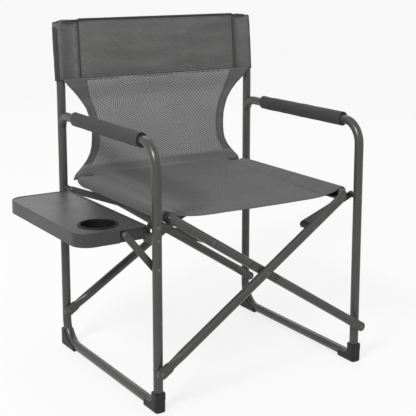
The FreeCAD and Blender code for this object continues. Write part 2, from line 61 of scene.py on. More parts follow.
# Chair dimensions in millimetres, about that middle plane
FRAME_X, LEG_Y = 282.0, 244.0
ARM_Z, KINK_Z, LEAN = 610.0, 680.0, math.radians(5.0)
RAIL_X, RAIL_Z = 242.0, 440.0


def at(x, y, z):
    """A point given in the chair's millimetres, in the row frame."""
    return Vector((x / 1000 + MID_X, y / 1000 + MID_Y, z / 1000))


SIDE_WORD = {-1: "left", 1: "right"}


def sided(stem, side):
    """A piece's name on one side, -1 for the table's side and 1 for the other."""
    return f"{stem}_{SIDE_WORD[side]}"


def post_y(z):
    """The back post's centre line at a height."""
    return LEG_Y + max(0.0, z - KINK_Z) * math.tan(LEAN)


def smooth(t):
    t = max(0.0, min(1.0, t))
    return t * t * (3 - 2 * t)


def between(table, v):
    """Smooth interpolation in a sorted table of (key, value)."""
    if v <= table[0][0]:
        return table[0][1]
    for (a, fa), (b, fb) in zip(table, table[1:]):
        if v <= b:
            return fa + (fb - fa) * (v - a) / (b - a)
    return table[-1][1]


# ------------------------------------------------------------------ materials

class Mat:
    """A small builder for procedural materials."""

    def __init__(self, name, colour, rough, metallic=0.0, sheen=0.0, coords="Object", gloss=0.5):
        self.m = bpy.data.materials.new(name)
        self.m.use_nodes = True
        self.tree = self.m.node_tree
        self.bsdf = self.tree.nodes["Principled BSDF"]
        self.bsdf.inputs["Base Color"].default_value = (*colour, 1)
        self.bsdf.inputs["Roughness"].default_value = rough
        self.bsdf.inputs["Metallic"].default_value = metallic
        self.bsdf.inputs["Sheen Weight"].default_value = sheen
        self.bsdf.inputs["Specular IOR Level"].default_value = gloss
        self.bsdf.inputs["Sheen Roughness"].default_value = 0.5
        self.space = self.node("TexCoord").outputs[coords]
        self.normal = None

    def node(self, kind, **props):
        n = self.tree.nodes.new("ShaderNode" + kind)
        for key, value in props.items():
            setattr(n, key, value)
        return n

    def join(self, a, b):
        self.tree.links.new(a, b)

    def math(self, op, a, b=None, clamp=False):
        n = self.node("Math", operation=op, use_clamp=clamp)
        for i, v in enumerate((a, b)):
            if v is None:
                continue
            if isinstance(v, (int, float)):
                n.inputs[i].default_value = v
            else:
                self.join(v, n.inputs[i])
        return n.outputs[0]

    def noise(self, scale, detail=3.0, rough=0.5):
        n = self.node("TexNoise")
        n.inputs["Scale"].default_value = scale
        n.inputs["Detail"].default_value = detail
        n.inputs["Roughness"].default_value = rough
        self.join(self.space, n.inputs["Vector"])
        return n.outputs["Fac"]

    def cells(self, scale):
        n = self.node("TexVoronoi")
        n.inputs["Scale"].default_value = scale
        self.join(self.space, n.inputs["Vector"])
        return n.outputs["Distance"]

    def ramp(self, fac, stops):
        n = self.node("ValToRGB")
        e = n.color_ramp.elements
        e[0].position, e[1].position = stops[0][0], stops[-1][0]
        e[0].color, e[1].color = (*stops[0][1], 1), (*stops[-1][1], 1)
        for pos, col in stops[1:-1]:
            e.new(pos).color = (*col, 1)
        self.join(fac, n.inputs["Fac"])
        return n.outputs["Color"]

    def colour(self, out):
        self.join(out, self.bsdf.inputs["Base Color"])

    def colour_times(self, base, fade):
        mix = self.node("Mix", data_type="RGBA", blend_type="MULTIPLY")
        mix.inputs["Factor"].default_value = 1.0
        self.join(base, mix.inputs[6])
        self.join(fade, mix.inputs[7])
        self.colour(mix.outputs[2])

    def rough(self, fac, low, high):
        n = self.node("MapRange")
        n.inputs["To Min"].default_value, n.inputs["To Max"].default_value = low, high
        self.join(fac, n.inputs["Value"])
        self.join(n.outputs["Result"], self.bsdf.inputs["Roughness"])

    def bump(self, height, distance, strength=1.0):
        n = self.node("Bump")
        n.inputs["Distance"].default_value = distance
        n.inputs["Strength"].default_value = strength
        self.join(height, n.inputs["Height"])
        if self.normal:
            self.join(self.normal, n.inputs["Normal"])
        self.normal = n.outputs["Normal"]
        self.join(self.normal, self.bsdf.inputs["Normal"])

    def waves(self, period_u, period_v, tilt=0.0):
        """Two sines across the cloth's UV map, which is in metres."""
        turn = self.node("Mapping")
        turn.inputs["Rotation"].default_value = (0, 0, tilt)
        self.join(self.space, turn.inputs["Vector"])
        split = self.node("SeparateXYZ")
        self.join(turn.outputs["Vector"], split.inputs["Vector"])
        u = self.math("SINE", self.math("MULTIPLY", split.outputs["X"], 2 * math.pi / period_u))
        v = self.math("SINE", self.math("MULTIPLY", split.outputs["Y"], 2 * math.pi / period_v))
        return u, v


def tint(colour, k):
    return tuple(min(1.0, c * k) for c in colour)


def painted(name, colour, rough):
    """Powder-coated steel: fine orange peel, faint handling marks."""
    m = Mat(name, colour, rough, gloss=0.46)
    cloud = m.noise(9.0, 4)
    m.colour(m.ramp(cloud, [(0.3, tint(colour, 0.9)), (0.7, tint(colour, 1.12))]))
    m.rough(m.noise(60.0, 4), rough - 0.08, rough + 0.1)
    m.bump(m.noise(1400.0, 2), 0.00012, 0.5)
    return m.m


def plastic(name, colour, rough, grain=900.0, depth=0.00015, gloss=0.3):
    """Moulded plastic with a fine spark-eroded grain and a faint flow."""
    m = Mat(name, colour, rough, gloss=gloss)
    cloud = m.noise(6.0, 3)
    m.colour(m.ramp(cloud, [(0.3, tint(colour, 0.93)), (0.7, tint(colour, 1.08))]))
    m.rough(m.noise(25.0, 5), rough - 0.06, rough + 0.08)
    m.bump(m.cells(grain), depth, 0.5)
    m.bump(m.noise(30.0, 2), 0.0004, 0.25)
    return m.m


def steel(name, colour, rough):
    m = Mat(name, colour, rough, metallic=0.85)
    m.rough(m.noise(300.0, 4), rough - 0.1, rough + 0.12)
    m.bump(m.noise(900.0, 3), 0.00008, 0.6)
    return m.m


def foam(name, colour):
    """Closed-cell foam: a soft skin with tiny cells and shallow dents."""
    m = Mat(name, colour, 0.78, sheen=0.05, gloss=0.25)
    cloud = m.noise(18.0, 5, 0.6)
    m.colour(m.ramp(cloud, [(0.25, tint(colour, 0.88)), (0.75, tint(colour, 1.12))]))
    m.rough(m.noise(120.0, 3), 0.68, 0.9)
    m.bump(m.noise(45.0, 4), 0.0012, 0.35)
    m.bump(m.cells(1100.0), 0.0002, 0.5)
    return m.m


def cloth(name, colour, period, twill, depth, contrast, tilt=0.0, sheen=0.08, fading=0.18):
    """Coated polyester: a woven relief with darker gaps, slub and soft fading."""
    m = Mat(name, colour, 0.82, sheen=sheen, coords="UV", gloss=0.25)
    u, v = m.waves(period, period * twill, tilt)
    weave = m.math("MULTIPLY", u, v)
    height = m.math("MULTIPLY_ADD", weave, 0.5)
    height.node.inputs[2].default_value = 0.5
    slub = m.noise(350.0, 2)
    both = m.math("ADD", m.math("MULTIPLY", height, 0.8), m.math("MULTIPLY", slub, 0.2))
    dark, light = tint(colour, 1 - contrast), tint(colour, 1 + contrast)
    base = m.ramp(both, [(0.2, dark), (0.8, light)])
    stretch = m.node("Mapping")
    stretch.inputs["Scale"].default_value = (0.35, 1.8, 1.0)
    m.join(m.space, stretch.inputs["Vector"])
    streaks = m.noise(16.0, 5, 0.62)
    m.join(stretch.outputs["Vector"], streaks.node.inputs["Vector"])
    worn = m.math("ADD", m.math("MULTIPLY", m.noise(7.0, 5, 0.6), 0.45), m.math("MULTIPLY", streaks, 0.55))
    faded, fresh = 1 - fading, 1 + 0.9 * fading
    fade = m.ramp(worn, [(0.38, (faded,) * 3), (0.62, (fresh,) * 3)])
    m.colour_times(base, fade)
    m.rough(height, 0.74, 0.92)
    m.bump(m.noise(22.0, 4), 0.002, 0.25)
    m.bump(height, depth, 0.9)
    return m.m


def air_mesh(name, colour):
    """Open sandwich mesh: staggered rows of small dark holes in a knitted face."""
    m = Mat(name, colour, 0.8, sheen=0.08, coords="UV", gloss=0.25)
    u, v = m.waves(0.0053, 0.0116, 0.78)
    pits = m.math("MULTIPLY", u, v)
    hole = m.node("MapRange", interpolation_type="SMOOTHSTEP")
    hole.inputs["From Min"].default_value, hole.inputs["From Max"].default_value = 0.05, 0.6
    m.join(pits, hole.inputs["Value"])
    knit_u, knit_v = m.waves(0.0016, 0.0011)
    knit = m.math("MULTIPLY", knit_u, knit_v)
    base = m.ramp(hole.outputs["Result"], [(0.0, tint(colour, 1.26)), (1.0, tint(colour, 0.16))])
    fade = m.ramp(m.noise(6.0, 4), [(0.3, (0.93, 0.93, 0.93)), (0.7, (1.07, 1.07, 1.07))])
    m.colour_times(base, fade)
    m.bump(m.math("MULTIPLY", hole.outputs["Result"], -1.0), 0.0009, 0.8)
    m.bump(knit, 0.0002, 0.5)
    return m.m


CHARCOAL = (0.0315, 0.032, 0.0303)
M = {
    "frame": painted("powder coat charcoal", CHARCOAL, 0.29),
    "black": painted("powder coat black", (0.014, 0.014, 0.014), 0.5),
    "steel": steel("rivet steel", (0.10, 0.10, 0.098), 0.42),
    "shoe": plastic("shoe plastic", (0.0072, 0.0072, 0.007), 0.5),
    "spacer": plastic("spacer plastic", (0.012, 0.012, 0.012), 0.5),
    "table": plastic("table plastic", (0.0255, 0.0256, 0.025), 0.36, 700.0, 0.0001, 0.34),
    "cup": plastic("cup plastic", (0.004, 0.004, 0.004), 0.5, 900.0, 0.00015, 0.2),
    "foam": foam("armrest foam", (0.029, 0.029, 0.029)),
    "seat": cloth("seat canvas", (0.0625, 0.0627, 0.0623), 0.0042, 1.6, 0.0005, 0.42, fading=0.09),
    "head": cloth("head band canvas", (0.084, 0.084, 0.083), 0.0046, 0.8, 0.0008, 0.5, 0.6),
    "tape": cloth("binding tape", (0.090, 0.090, 0.0888), 0.003, 0.5, 0.0005, 0.25),
    # Dark piping and hems; the same colour also paints shade on the sleeves' outer strips and in the panel's
    # seam grooves.
    "trim_and_shade": cloth("dark trim and painted shade", (0.026, 0.026, 0.0255), 0.003, 0.5, 0.0004, 0.2),
    "foot": cloth("foot strip cloth", (0.112, 0.112, 0.111), 0.0021, 1.0, 0.0003, 0.24),
    "mesh": air_mesh("air mesh", (0.182, 0.182, 0.181)),
    "thread": cloth("thread", (0.038, 0.038, 0.0375), 0.001, 1.0, 0.0001, 0.1),
}

CAD_LOOKS = [
    ("frame", ["_frame_tube", "left_seat_tube", "right_seat_tube", "_link", "table_strut"]),
    ("shoe", ["_shoe", "_plug"]),
    ("spacer", ["_washers", "_bush", "_spacers"]),
    ("black", ["table_rail", "table_rail_knuckles", "tray_bracket"]),
    ("table", ["table_tray", "tray_knuckles"]),
    ("cup", ["cup_holder"]),
    ("steel", ["_bolts", "_rivets", "_pins", "strut_rivet", "strut_stud"]),
]
for look, endings in CAD_LOOKS:
    for node_name, node in NODES.items():
        if any(node_name.endswith(e) for e in endings):
            for material_slot in node.material_slots:
                material_slot.material = M[look]


# ------------------------------------------------------------------ mesh tools

def mesh_object(name, verts, faces, uvs=None, material=None, smooth_faces=True):
    me = bpy.data.meshes.new(name)
    me.from_pydata([tuple(v) for v in verts], [], faces)
    me.validate()
    if uvs is not None:
        layer = me.uv_layers.new(name="cloth")
        for loop in me.loops:
            layer.data[loop.index].uv = uvs[loop.vertex_index]
    for p in me.polygons:
        p.use_smooth = smooth_faces
    ob = bpy.data.objects.new(name, me)
    bpy.context.scene.collection.objects.link(ob)
    if material:
        me.materials.append(M[material])
    return ob


def grid(name, point, nu, nv, material):
    """A sheet from point(i / nu, j / nv), with a UV map in metres along its own lines."""
    cols = nu + 1
    rows = [[Vector(point(i / nu, j / nv)) for i in range(cols)] for j in range(nv + 1)]
    uvs, faces = [], []
    mid = rows[len(rows) // 2]
    run_u = [0.0]
    for a, b in zip(mid, mid[1:]):
        run_u.append(run_u[-1] + (b - a).length)
    run_v = [0.0]
    c = cols // 2
    for a, b in zip(rows, rows[1:]):
        run_v.append(run_v[-1] + (b[c] - a[c]).length)
    for j in range(nv + 1):
        uvs += [(run_u[i], run_v[j]) for i in range(cols)]
    for j in range(nv):
        for i in range(nu):
            k = i + 1
            faces.append((j * cols + i, j * cols + k, (j + 1) * cols + k, (j + 1) * cols + i))
    return mesh_object(name, [p for row in rows for p in row], faces, uvs, material)


def bake(ob):
    """Applies the modifiers to the mesh."""
    bpy.context.view_layer.update()
    graph = bpy.context.evaluated_depsgraph_get()
    me = bpy.data.meshes.new_from_object(ob.evaluated_get(graph))
    ob.modifiers.clear()
    ob.data = me
    return ob


def thicken(ob, thickness):
    mod = ob.modifiers.new("thickness", "SOLIDIFY")
    mod.thickness = thickness / 1000
    mod.offset = -1.0
    mod.use_even_offset = True
    return bake(ob)


def tube(name, points, radius, material, sides=10):
    """A round bar through points, with closed ends."""
    pts = [Vector(p) for p in points]
    verts, faces, uvs = [], [], []
    ref = Vector((0, 0, 1))
    run = 0.0
    for i, p in enumerate(pts):
        d = (pts[min(i + 1, len(pts) - 1)] - pts[max(i - 1, 0)]).normalized()
        if abs(d.dot(ref)) > 0.95:
            ref = Vector((0, 1, 0))
        side = d.cross(ref).normalized()
        up = side.cross(d)
        run += (p - pts[i - 1]).length if i else 0
        for k in range(sides):
            a = 2 * math.pi * k / sides
            verts.append(p + (side * math.cos(a) + up * math.sin(a)) * radius)
            uvs.append((k * radius * 0.6, run))
    for i in range(len(pts) - 1):
        for k in range(sides):
            n = (k + 1) % sides
            faces.append((i * sides + k, i * sides + n, (i + 1) * sides + n, (i + 1) * sides + k))
    faces.append(tuple(range(sides))[::-1])
    faces.append(tuple((len(pts) - 1) * sides + k for k in range(sides)))
    return mesh_object(name, verts, faces, uvs, material)


def stitches(name, runs, normal, material="thread", pitch=4.2, length=2.9, radius=0.42):
    """Rows of short raised stitches along polylines, each lying on the cloth."""
    verts, faces = [], []
    for pts in runs:
        pts = [Vector(p) for p in pts]
        total = sum((b - a).length for a, b in zip(pts, pts[1:]))
        count = max(1, int(total / (pitch / 1000)))
        for n in range(count):
            s = (n + 0.5) * total / count
            for a, b in zip(pts, pts[1:]):
                seg = (b - a).length
                if s <= seg:
                    break
                s -= seg
            d = (b - a).normalized()
            c = a + d * s
            up = normal(c) if callable(normal) else Vector(normal)
            side = d.cross(up).normalized()
            base = len(verts)
            for t, k in ((-0.5, 0.25), (-0.3, 1.0), (0.3, 1.0), (0.5, 0.25)):
                for e in range(6):
                    ang = 2 * math.pi * e / 6
                    r = radius / 1000 * k
                    lift = -0.15 * radius / 1000 if k < 1 else 0.25 * radius / 1000
                    verts.append(c + d * (t * length / 1000) + side * (r * math.cos(ang))
                                 + up * (r * math.sin(ang) + lift))
            for row in range(3):
                for e in range(6):
                    f = (e + 1) % 6
                    faces.append((base + row * 6 + e, base + row * 6 + f,
                                  base + row * 6 + 6 + f, base + row * 6 + 6 + e))
            faces.append(tuple(base + e for e in range(6))[::-1])
            faces.append(tuple(base + 18 + e for e in range(6)))
    uvs = [(v.x, v.y) for v in verts]
    return mesh_object(name, verts, faces, uvs, material)


def wrinkle(x, y, z, size, height, seed=0.0):
    return noise.noise(Vector((x / size + seed, y / size - seed, z / size + 2 * seed))) * height


# ------------------------------------------------------------------ seat

SLEEVE_R = 13.4
SEAT_MID = -5.0
SEAM_IN = 48.0          # the sleeve's seam, inside the rail
SEAM_DROP = 2.4         # the lower layer lies this far under the upper one
SAG_FRONT, SAG_REAR = 22.5, 2.0
SEAT_TILT = 0.014       # the seat hangs a little lower on its left side
SAG_POWER_FRONT, SAG_POWER_REAR = 7.0, 3.0    # a higher power leaves the rails steeper and is flatter between
SEAT_Y0, SEAT_DEPTH = -230.0, 450.0
REAR_HEM_Y = 229.0      # between the sleeves, which end earlier
NOTCH_X, NOTCH_WIDE = 224.0, 18.0
BEND_R = 28.0           # of the seat tubes' corners
LEG_DX, LEG_DZ = 0.838, 0.546                      # direction of a seat tube's leg, inwards and down
BEND_START = {-1: (-200.5, 197.0), 1: (-220.5, 176.0)}   # where each rail's straight stretch ends
CLOTH_END = {-1: (-220.0, 221.0), 1: (-231.0, 206.0)}    # the sleeve follows the bends that far


def seat_top(x, y=SEAT_MID):
    """Height of the seat's top face: slack at the front, taut at the rear."""
    t = max(0.0, min(1.0, (y - SEAT_Y0) / SEAT_DEPTH))
    sag = SAG_FRONT + (SAG_REAR - SAG_FRONT) * t
    across = min(1.0, abs(x) / RAIL_X)
    power = SAG_POWER_FRONT + (SAG_POWER_REAR - SAG_POWER_FRONT) * t
    tilt = SEAT_TILT * x * (1 - t) * (1 - across ** 4)
    return RAIL_Z + SLEEVE_R - sag * (1 - across ** power) + tilt


def seat_front(x):
    ends = (CLOTH_END[-1][0] + CLOTH_END[1][0]) / 2, (CLOTH_END[1][0] - CLOTH_END[-1][0]) / 2
    return ends[0] + ends[1] * x / RAIL_X + 3.0 * (1 - (x / RAIL_X) ** 2)


def seat_rear(x, lower=False):
    sleeve_end = CLOTH_END[-1 if x < 0 else 1][1]
    if lower:
        return sleeve_end
    return REAR_HEM_Y + (sleeve_end - REAR_HEM_Y) * smooth((abs(x) - NOTCH_X) / NOTCH_WIDE)


def seat_profile():
    """The cloth's outer face across the seat at mid depth, as (x, z, is the lower layer)."""
    right = []
    lean = math.atan(2 * SAG_FRONT / RAIL_X) * 0.6
    tangent_x = RAIL_X - SLEEVE_R * math.sin(lean)
    for i in range(29):
        x = tangent_x * i / 28
        right.append((x, seat_top(x), False))
    for i in range(1, 17):
        a = -lean + (math.radians(196) + lean) * i / 16
        right.append((RAIL_X + SLEEVE_R * math.sin(a), RAIL_Z + SLEEVE_R * math.cos(a), a > 1.8))
    last = right[-1]
    seam_x = RAIL_X - SEAM_IN
    for i in range(1, 8):
        t = i / 7
        seam_z = seat_top(seam_x) - SEAM_DROP
        right.append((last[0] + (seam_x - last[0]) * t, last[1] + (seam_z - last[1]) * t, True))
    left = [(-x, z, low) for x, z, low in right[:0:-1]]
    return left + right


SEAT = seat_profile()


def round_the_bend(x, y, z):
    """Moves a sleeve point to follow its rail's bend."""
    side = 1 if x > 0 else -1
    start = BEND_START[side]
    past = max(start[0] - y, y - start[1], 0.0)
    if past == 0 or abs(x) < 200:
        return x, z
    past = min(past, 0.86 * BEND_R)
    drop = BEND_R - math.sqrt(BEND_R ** 2 - past ** 2)
    stretch = BEND_R / math.sqrt(BEND_R ** 2 - past ** 2)
    weight = smooth((abs(x) - 200) / 28)
    dx, dz = abs(x) - RAIL_X, z - RAIL_Z
    # Along the leg's direction the section of the tilted tube is longer
    along = -dx * LEG_DX - dz * LEG_DZ
    move = (drop + along * (stretch - 1)) * weight
    return side * (abs(x) - LEG_DX * move), z - LEG_DZ * move


def seat_point(u, v):
    k = u * (len(SEAT) - 1)
    x, z, low = SEAT[int(round(k))]
    y0, y1 = seat_front(x), seat_rear(x, low or abs(x) > RAIL_X + 2)
    y = y0 + (y1 - y0) * v
    z += seat_top(x, y) - seat_top(x)
    if not low and abs(x) < 225:
        taut = 1 - (abs(x) / 225) ** 4
        z += taut * wrinkle(x, y, 0, 90, 1.5, 3.1) * smooth((REAR_HEM_Y - y) / 40)
    hem = 1 - smooth((y - y0) / 14.0)
    if not low:
        z += 0.5 * hem
    x, z = round_the_bend(x, y, z)
    return at(x, y, z)


seat = grid("seat_cloth", seat_point, len(SEAT) - 1, 64, "seat")
thicken(seat, 1.5)
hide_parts("seat_fabric")


def along_seat(x, v0=0.01, v1=0.99, n=40):
    """A line from front to rear on the seat's top face."""
    pts = []
    k = min(range(len(SEAT)), key=lambda i: abs(SEAT[i][0] - x) + (1000 if SEAT[i][2] else 0))
    xs = SEAT[k][0]
    for i in range(n + 1):
        p = seat_point(k / (len(SEAT) - 1), v0 + (v1 - v0) * i / n)
        pts.append(p + Vector(((x - xs) / 1000, 0, (seat_top(x) - seat_top(xs)) / 1000)))
    return pts


def across_seat(inset):
    """A line from side to side along the seat's front hem."""
    pts = []
    for k, (x, z, low) in enumerate(SEAT):
        if low or abs(x) > 240:
            continue
        y0, y1 = seat_front(x), seat_rear(x)
        pts.append(seat_point(k / (len(SEAT) - 1), inset / (y1 - y0)))
    return pts


UP = Vector((0, 0, 1))
seat_seams = stitches("seat_stitches", [
    along_seat(-RAIL_X + SEAM_IN), along_seat(-RAIL_X + SEAM_IN + 5),
    along_seat(RAIL_X - SEAM_IN), along_seat(RAIL_X - SEAM_IN - 5),
    across_seat(11.0)], UP)

for piece in (seat, seat_seams):
    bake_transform(piece)

# ------------------------------------------------------------------ back

HEAD_LOW, HEAD_HIGH = 698.0, 848.0
PANEL_X = 230.0
SLEEVE_LAP = 4.0        # the sleeves reach this far over the panel
SLEEVE_VALLEY = 8.5     # between the post and the panel the sleeve dips this deep
POST_CLOTH_R = 12.9


def fold_in(piece):
    """Gives a piece its own copy of its mesh data."""
    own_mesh(piece)


def sleeve_profile(side):
    """The head band's sleeve in plan, from the panel's front edge round the post to its rear face."""
    pts = []
    front, rear = -POST_CLOTH_R, -POST_CLOTH_R + 4.0
    for i in range(13):
        t = i / 12
        dip = SLEEVE_VALLEY * math.sin(math.pi * t ** 0.8)
        pts.append((PANEL_X - SLEEVE_LAP + (FRAME_X - PANEL_X) * t, front + dip))
    for i in range(1, 19):
        a = math.radians(-8 + 236 * i / 18)
        pts.append((FRAME_X + POST_CLOTH_R * math.sin(a), -POST_CLOTH_R * math.cos(a)))
    last = pts[-1]
    for i in range(1, 7):
        t = i / 6
        pts.append((last[0] + (PANEL_X - SLEEVE_LAP - last[0]) * t, last[1] + (rear - last[1]) * smooth(t)))
    return [(side * x, y) for x, y in pts]


def head_sleeve(side):
    profile = sleeve_profile(side)

    def point(u, v):
        x, dy = profile[int(round(u * (len(profile) - 1)))]
        z = HEAD_LOW + (HEAD_HIGH - HEAD_LOW) * v
        out = smooth((abs(x) - 266) / 26)
        z += (2.0 * (1 - v) - 8.0 * v ** 6) * out
        bulge = wrinkle(x, dy * 3, z, 34, 1.6, 5.0 + side)
        return at(x + side * bulge * 0.4, post_y(z) + dy + (bulge * 0.5 if dy < -8 else 0), z)

    ob = grid(sided("head_sleeve", side), point, len(profile) - 1, 40, "head")
    if side < 0:
        ob.data.flip_normals()
    return thicken(ob, 1.3)


def head_front(x, z):
    """The padded panel's front face: crowned, pinched at its seams."""
    fx, fz = abs(x) / PANEL_X, abs(z - (HEAD_LOW + HEAD_HIGH) / 2) / ((HEAD_HIGH - HEAD_LOW) / 2)
    crown = 3.6 * (1 - fx ** 10) * (1 - fz ** 6)
    long_folds = wrinkle(x * 0.5, 0, z * 1.7, 50, 3.0, 9.0)
    small_folds = wrinkle(x, 0, z * 1.5, 22, 0.7, 2.0)
    ripple = (long_folds + small_folds) * (1 - fx ** 8)
    return crown + ripple * (1 - 0.7 * (1 - fz)) * (1 - fz ** 8)


def head_point(front):
    def point(u, v):
        x = -PANEL_X + 2 * PANEL_X * u
        z = HEAD_LOW + (HEAD_HIGH - HEAD_LOW) * v
        base = post_y(z) - POST_CLOTH_R
        return at(x, base - head_front(x, z) if front else base + 3.6 + 0.4 * head_front(x, z), z)
    return point


def head_panel():
    """One sheet: a crowned front and a flatter back, joined over the top hem."""
    nu, nv = 90, 34
    front, rear = head_point(True), head_point(False)

    def point(u, v):
        # v runs up the front face, over the top hem and down the rear face
        if v < 0.46:
            return front(u, v / 0.46)
        if v > 0.54:
            return rear(u, 1 - (v - 0.54) / 0.46)
        t = (v - 0.46) / 0.08
        a, b = front(u, 1), rear(u, 1)
        return a.lerp(b, t) + Vector((0, 0, 0.0022 * math.sin(math.pi * t)))

    ob = grid("head_panel", point, nu, 2 * nv + 6, "head")
    return ob


panel = head_panel()
left_sleeve, right_sleeve = head_sleeve(-1), head_sleeve(1)


def head_line(z, lift, x0=-PANEL_X, x1=PANEL_X, n=60):
    pts = []
    for i in range(n + 1):
        x = x0 + (x1 - x0) * i / n
        pts.append(at(x, post_y(z) - POST_CLOTH_R - lift(x, z), z))
    return pts


bottom_roll = tube("head_bottom_roll", head_line(HEAD_LOW - 0.5, lambda x, z: 1.0), 0.0026, "tape")
bottom_roll_2 = tube("head_bottom_roll_2", head_line(HEAD_LOW + 5.5, lambda x, z: 1.3), 0.0017, "tape")
top_roll = tube("head_top_roll", head_line(HEAD_HIGH + 0.2, lambda x, z: 0.2), 0.0031, "trim_and_shade")


def sleeve_shade_strip(side):
    """Painted shade: a dark strip wrapped round a sleeve's outer side, where the sleeve turns away from the
    light, drawn in at its top.
    """
    def point(u, v):
        z = HEAD_LOW - 1 + (HEAD_HIGH - HEAD_LOW - 5) * v
        a = math.radians(28 + 128 * u)
        r = POST_CLOTH_R + 0.5 + 0.7 * math.sin(math.pi * u) - 3.0 * v ** 14
        lift = wrinkle(a * 12, 0, z, 20, 0.5, 3.0)
        return at(side * (FRAME_X + (r + lift) * math.sin(a)), post_y(z) - (r + lift) * math.cos(a), z)

    ob = grid(sided("head_sleeve_shade_strip", side), point, 16, 50, "trim_and_shade")
    if side < 0:
        ob.data.flip_normals()
    return thicken(ob, 1.0)


def sleeve_hem(side):
    """The dark roll along the top of a sleeve and round its open end."""
    run_in = []
    for i in range(7):
        t = i / 6
        y = post_y(HEAD_HIGH - 3) - POST_CLOTH_R + 2.0
        run_in.append(at(side * (PANEL_X + 45.0 * t), y, HEAD_HIGH - 1.0 - 4.0 * t))
    opening = []
    z, r = HEAD_HIGH - 6.5, POST_CLOTH_R - 2.2
    for i in range(25):
        a = math.radians(-30 + 240 * i / 24)
        x, y = FRAME_X - 1 + r * math.sin(a), post_y(z) - r * math.cos(a)
        opening.append(at(side * x, y, z + 1.5 * math.cos(a)))
    return tube(sided("head_sleeve_hem", side), run_in + opening, 0.0021, "trim_and_shade")


# Each side's dark sleeve hem, and its painted-shade strip on the sleeve's outer side
left_hem_and_shade = [sleeve_shade_strip(-1), sleeve_hem(-1)]
right_hem_and_shade = [sleeve_shade_strip(1), sleeve_hem(1)]


# Painted shade: thin dark tubes along the panel's side seams stand in for the shade in the groove between
# each sleeve and the panel.
seam_shade_rolls = []
for side in (-1, 1):
    x = side * (PANEL_X + 1.5)
    side_line = [at(x, post_y(z) - POST_CLOTH_R - 0.2, z) for z in
                 [HEAD_LOW + (HEAD_HIGH - HEAD_LOW - 1) * i / 30 for i in range(31)]]
    seam_shade_rolls.append(tube(sided("head_seam_shade_roll", side), side_line, 0.0015, "trim_and_shade"))


def back_normal(c):
    return Vector((0, -1, 0.05)).normalized()


edge_rows = []
for side in (-1, 1):
    for dx in (3.0, 8.0):
        x = side * (PANEL_X + dx)
        edge_rows.append([at(x, post_y(z) - POST_CLOTH_R + 0.5, z) for z in
                          [HEAD_LOW + 3 + (HEAD_HIGH - HEAD_LOW - 6) * i / 30 for i in range(31)]])
rows = [head_line(HEAD_HIGH - 6, lambda x, z: head_front(x, z) + 0.1),
        head_line(HEAD_LOW + 9, lambda x, z: head_front(x, z) + 0.1)]
head_stitches = stitches("head_stitches", rows, back_normal)
edge_left = stitches("head_edge_stitches_left", edge_rows[:2], back_normal)
edge_right = stitches("head_edge_stitches_right", edge_rows[2:], back_normal)

# Half width of the back at each height, and of the binding band along its edges
WAIST = [(439, 256), (452, 251), (462, 241), (475, 228), (490, 216), (505, 208), (520, 203.5), (540, 201.5),
         (560, 201.5), (580, 203), (600, 208), (620, 215), (640, 228), (660, 244), (673, 257), (685, 269),
         (698, 280)]
BAND = [(439, 30), (452, 34), (480, 27), (500, 25), (600, 25), (640, 29), (665, 42), (698, 66)]


BACK_LOW = 439.0        # the bindings' lower ends, behind the seat
MESH_LOW = 472.0        # the mesh starts a little under the foot strip's top edge
FOOT_LOW, FOOT_TALL = 444.0, 31.0
BEHIND_TUBES = 9.5      # how far the mesh is set back to clear the seat tubes when folded


def mesh_y(x, z):
    """The mesh hangs a little slack between its taut edges, behind the seat tubes' rear legs."""
    t = (z - 455) / 240
    set_back = BEHIND_TUBES * smooth((HEAD_LOW - 1 - z) / 58)
    slack = 2.0 * math.sin(math.pi * t) * (1 - (x / 230) ** 2)
    return LEG_Y - POST_CLOTH_R + set_back + slack + wrinkle(x, 0, z, 80, 0.8, 4)


def mesh_point(u, v):
    z = MESH_LOW + (HEAD_LOW + 2 - MESH_LOW) * v
    half = between(WAIST, z) - between(BAND, z) + 3
    x = half * (2 * u - 1)
    return at(x, mesh_y(x, z), z)


mesh = grid("back_mesh", mesh_point, 60, 60, "mesh")
mesh.data.flip_normals()
thicken(mesh, 1.6)


def band_point(side):
    def point(u, v):
        z = BACK_LOW + (HEAD_LOW + 3 - BACK_LOW) * v
        outer, wide = between(WAIST, z), between(BAND, z)
        x = side * (outer - wide * u)
        roll = 1.6 * math.sin(math.pi * min(1.0, u * 4)) if u < 0.25 else 0.5
        return at(x, mesh_y(x, z) - 1.0 - roll * 0.5 + wrinkle(x, 5, z, 14, 0.5, 7), z)
    return point


bands = []
for side in (-1, 1):
    band = grid(sided("back_binding", side), band_point(side), 12, 90, "tape")
    if side > 0:
        band.data.flip_normals()
    bands.append(thicken(band, 2.6))


def foot_point(u, v):
    z = FOOT_LOW + FOOT_TALL * v
    half = between(WAIST, z) - 4
    x = half * (2 * u - 1)
    return at(x, mesh_y(x, z) - 0.8 - 0.6 * math.sin(math.pi * v), z)


foot_strip = grid("back_foot_strip", foot_point, 60, 6, "foot")
foot_strip.data.flip_normals()
thicken(foot_strip, 2.2)

mesh_rows = []
for side in (-1, 1):
    for inset in (3.0, None):
        row = []
        for i in range(61):
            z = 466 + (HEAD_LOW - 470) * i / 60
            outer, wide = between(WAIST, z), between(BAND, z)
            x = side * (outer - (wide - 3 if inset else 4.5))
            row.append(at(x, mesh_y(x, z) - 1.9, z))
        mesh_rows.append(row)
mesh_rows.append([at(x, mesh_y(x, 473) - 1.6, 473) for x in range(-195, 196, 5)])
mesh_stitches = stitches("mesh_stitches", mesh_rows, back_normal)

